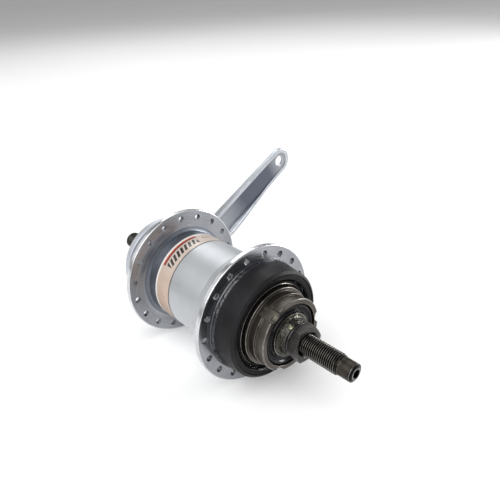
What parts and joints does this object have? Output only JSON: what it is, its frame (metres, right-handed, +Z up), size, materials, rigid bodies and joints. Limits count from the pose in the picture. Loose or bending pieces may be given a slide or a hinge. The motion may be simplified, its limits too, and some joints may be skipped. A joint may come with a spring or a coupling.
{
  "type": "bicycle hub gear",
  "caption": "Rear bicycle hub with a flanged barrel, epicyclic gear inside, notched sprocket carrier, threaded axle, and a coaster brake with its reaction arm.",
  "frame": {"origin": "on the axle's axis, midway between the two dropout faces of the lock nuts", "axes": "+Y along the axle towards the brake-arm side, -Y towards the sprocket side, +Z up, +X towards the side that the brake arm reaches to"},
  "size_m": [0.1291, 0.161, 0.0711],
  "materials": {
    "shell_alloy": "satin bead-blasted with polished flange edges",
    "axle_black": "black oxide",
    "driver_steel": "phosphated, edges worn bright",
    "bearing_steel": "ground and polished",
    "zinc_steel": "bright zinc plated",
    "nut_steel": "gunmetal",
    "seal_rubber": "satin",
    "cap_black": "matte charcoal",
    "gear_steel": "machined and oiled",
    "brake_bronze": "cast and turned",
    "spring_steel": "drawn wire",
    "sticker": "printed film"
  },
  "bodies": {
    "axle_unit": {"axle": "axle_black", "right_lock_nut": "nut_steel", "right_lock_washer": "zinc_steel", "right_cone": "bearing_steel", "right_cone_seal": "seal_rubber", "brake_cone": "gear_steel", "left_dust_cap": "zinc_steel", "brake_arm": "zinc_steel", "left_lock_washer": "zinc_steel", "left_lock_nut": "nut_steel", "brake_shoe_spring": "spring_steel", "clutch_spring": "spring_steel"},
    "hub": {"hub_shell": "shell_alloy", "barrel_sticker": "sticker", "right_ball_cup": "bearing_steel", "right_dust_cap": "cap_black", "low_gear_ratchet": "gear_steel"},
    "driver_unit": {"driver": "driver_steel", "driver_dust_ring": "cap_black"},
    "ring_gear_unit": {"ring_gear": "gear_steel"},
    "carrier_unit": {"planet_carrier": "gear_steel", "planet_pin_1": "bearing_steel", "planet_pin_2": "bearing_steel", "planet_pin_3": "bearing_steel", "planet_pin_4": "bearing_steel", "roller_guide": "gear_steel"},
    "clutch_unit": {"clutch": "gear_steel"},
    "key_unit": {"axle_key": "gear_steel"},
    "left_retainer": {"left_ball_retainer": "bearing_steel"},
    "shell_retainer": {"shell_ball_retainer": "bearing_steel"},
    "driver_retainer": {"driver_ball_retainer": "bearing_steel"},
    "planet_1": {"planet_gear_1": "gear_steel"},
    "planet_2": {"planet_gear_2": "gear_steel"},
    "planet_3": {"planet_gear_3": "gear_steel"},
    "planet_4": {"planet_gear_4": "gear_steel"},
    "roller_1": {"brake_roller_1": "bearing_steel"},
    "roller_2": {"brake_roller_2": "bearing_steel"},
    "roller_3": {"brake_roller_3": "bearing_steel"},
    "roller_4": {"brake_roller_4": "bearing_steel"},
    "roller_5": {"brake_roller_5": "bearing_steel"},
    "shoe_1": {"brake_shoe_1": "brake_bronze"},
    "shoe_2": {"brake_shoe_2": "brake_bronze"},
    "shoe_3": {"brake_shoe_3": "brake_bronze"},
    "ring_pawl_1": {"ring_gear_pawl_1": "spring_steel"},
    "low_pawl_1": {"low_gear_pawl_1": "spring_steel"},
    "ring_pawl_2": {"ring_gear_pawl_2": "spring_steel"},
    "low_pawl_2": {"low_gear_pawl_2": "spring_steel"}
  },
  "joints": [
    {"name": "shell_spin", "type": "hinge", "parent": "axle_unit", "child": "hub", "pos_m": [0, 0, 0], "axis": [0, 1, 0], "continuous": true},
    {"name": "driver_spin", "type": "hinge", "parent": "axle_unit", "child": "driver_unit", "pos_m": [0, 0, 0], "axis": [0, 1, 0], "continuous": true},
    {"name": "ring_gear_spin", "type": "hinge", "parent": "axle_unit", "child": "ring_gear_unit", "pos_m": [0, 0, 0], "axis": [0, 1, 0], "continuous": true},
    {"name": "carrier_spin", "type": "hinge", "parent": "axle_unit", "child": "carrier_unit", "pos_m": [0, 0, 0], "axis": [0, 1, 0], "continuous": true},
    {"name": "planet_spin_1", "type": "hinge", "parent": "carrier_unit", "child": "planet_1", "pos_m": [0.01125, 0, 0], "axis": [0, 1, 0], "continuous": true},
    {"name": "planet_spin_2", "type": "hinge", "parent": "carrier_unit", "child": "planet_2", "pos_m": [0, 0, 0.01125], "axis": [0, 1, 0], "continuous": true},
    {"name": "planet_spin_3", "type": "hinge", "parent": "carrier_unit", "child": "planet_3", "pos_m": [-0.01125, 0, 0], "axis": [0, 1, 0], "continuous": true},
    {"name": "planet_spin_4", "type": "hinge", "parent": "carrier_unit", "child": "planet_4", "pos_m": [0, 0, -0.01125], "axis": [0, 1, 0], "continuous": true},
    {"name": "left_retainer_spin", "type": "hinge", "parent": "axle_unit", "child": "left_retainer", "pos_m": [0, 0, 0], "axis": [0, 1, 0], "continuous": true},
    {"name": "shell_retainer_spin", "type": "hinge", "parent": "axle_unit", "child": "shell_retainer", "pos_m": [0, 0, 0], "axis": [0, 1, 0], "continuous": true},
    {"name": "driver_retainer_spin", "type": "hinge", "parent": "axle_unit", "child": "driver_retainer", "pos_m": [0, 0, 0], "axis": [0, 1, 0], "continuous": true},
    {"name": "clutch_slide", "type": "slide", "parent": "driver_unit", "child": "clutch_unit", "axis": [0, 1, 0], "range_m": [0, 0.0022], "stiffness_N_per_m": 300, "springref_m": -0.003, "deforming": ["clutch_spring"]},
    {"name": "key_slide", "type": "slide", "parent": "axle_unit", "child": "key_unit", "axis": [0, 1, 0], "range_m": [0, 0.0022]},
    {"name": "ring_pawl_fold_1", "type": "hinge", "parent": "ring_gear_unit", "child": "ring_pawl_1", "pos_m": [-0.00029, 0, 0.0165], "axis": [0, 1, 0], "range_deg": [0, 13], "stiffness_Nm_per_rad": 0.0005, "springref_deg": -11.46},
    {"name": "ring_pawl_fold_2", "type": "hinge", "parent": "ring_gear_unit", "child": "ring_pawl_2", "pos_m": [0.00029, 0, -0.0165], "axis": [0, 1, 0], "range_deg": [0, 13], "stiffness_Nm_per_rad": 0.0005, "springref_deg": -11.46},
    {"name": "low_pawl_lift_1", "type": "hinge", "parent": "carrier_unit", "child": "low_pawl_1", "pos_m": [0.0007, 0, 0.01598], "axis": [0, -1, 0], "range_deg": [0, 13], "stiffness_Nm_per_rad": 0.0005, "springref_deg": -11.46},
    {"name": "low_pawl_lift_2", "type": "hinge", "parent": "carrier_unit", "child": "low_pawl_2", "pos_m": [-0.0007, 0, -0.01598], "axis": [0, -1, 0], "range_deg": [0, 13], "stiffness_Nm_per_rad": 0.0005, "springref_deg": -11.46},
    {"name": "brake_shoe_slide_1", "type": "slide", "parent": "axle_unit", "child": "shoe_1", "axis": [0, 0, 1], "range_m": [0, 0.0004], "stiffness_N_per_m": 400, "springref_m": -0.0004},
    {"name": "brake_shoe_slide_2", "type": "slide", "parent": "axle_unit", "child": "shoe_2", "axis": [-0.866, 0, -0.5], "range_m": [0, 0.0004]},
    {"name": "brake_shoe_slide_3", "type": "slide", "parent": "axle_unit", "child": "shoe_3", "axis": [0.866, 0, -0.5], "range_m": [0, 0.0004]},
    {"name": "brake_roller_slide_1", "type": "slide", "parent": "carrier_unit", "child": "roller_1", "axis": [0, 0, 1], "range_m": [0, 0.0006]},
    {"name": "brake_roller_slide_2", "type": "slide", "parent": "carrier_unit", "child": "roller_2", "axis": [-0.9511, 0, 0.309], "range_m": [0, 0.0006]},
    {"name": "brake_roller_slide_3", "type": "slide", "parent": "carrier_unit", "child": "roller_3", "axis": [-0.5878, 0, -0.809], "range_m": [0, 0.0006]},
    {"name": "brake_roller_slide_4", "type": "slide", "parent": "carrier_unit", "child": "roller_4", "axis": [0.5878, 0, -0.809], "range_m": [0, 0.0006]},
    {"name": "brake_roller_slide_5", "type": "slide", "parent": "carrier_unit", "child": "roller_5", "axis": [0.9511, 0, 0.309], "range_m": [0, 0.0006]}
  ],
  "couplings": [
    {"joint": "driver_spin", "follows": "shell_spin", "ratio": 1},
    {"joint": "ring_gear_spin", "follows": "shell_spin", "ratio": 1},
    {"joint": "carrier_spin", "follows": "shell_spin", "ratio": 0.73333},
    {"joint": "planet_spin_1", "follows": "shell_spin", "ratio": 0.8381},
    {"joint": "planet_spin_2", "follows": "shell_spin", "ratio": 0.8381},
    {"joint": "planet_spin_3", "follows": "shell_spin", "ratio": 0.8381},
    {"joint": "planet_spin_4", "follows": "shell_spin", "ratio": 0.8381},
    {"joint": "left_retainer_spin", "follows": "shell_spin", "ratio": 0.6},
    {"joint": "shell_retainer_spin", "follows": "shell_spin", "ratio": 1},
    {"joint": "driver_retainer_spin", "follows": "shell_spin", "ratio": 0.612},
    {"joint": "key_slide", "follows": "clutch_slide", "ratio": 1},
    {"joint": "brake_shoe_slide_2", "follows": "brake_shoe_slide_1", "ratio": 1},
    {"joint": "brake_shoe_slide_3", "follows": "brake_shoe_slide_1", "ratio": 1},
    {"joint": "brake_roller_slide_1", "follows": "brake_shoe_slide_1", "ratio": 1.5},
    {"joint": "brake_roller_slide_2", "follows": "brake_shoe_slide_1", "ratio": 1.5},
    {"joint": "brake_roller_slide_3", "follows": "brake_shoe_slide_1", "ratio": 1.5},
    {"joint": "brake_roller_slide_4", "follows": "brake_shoe_slide_1", "ratio": 1.5},
    {"joint": "brake_roller_slide_5", "follows": "brake_shoe_slide_1", "ratio": 1.5}
  ]
}
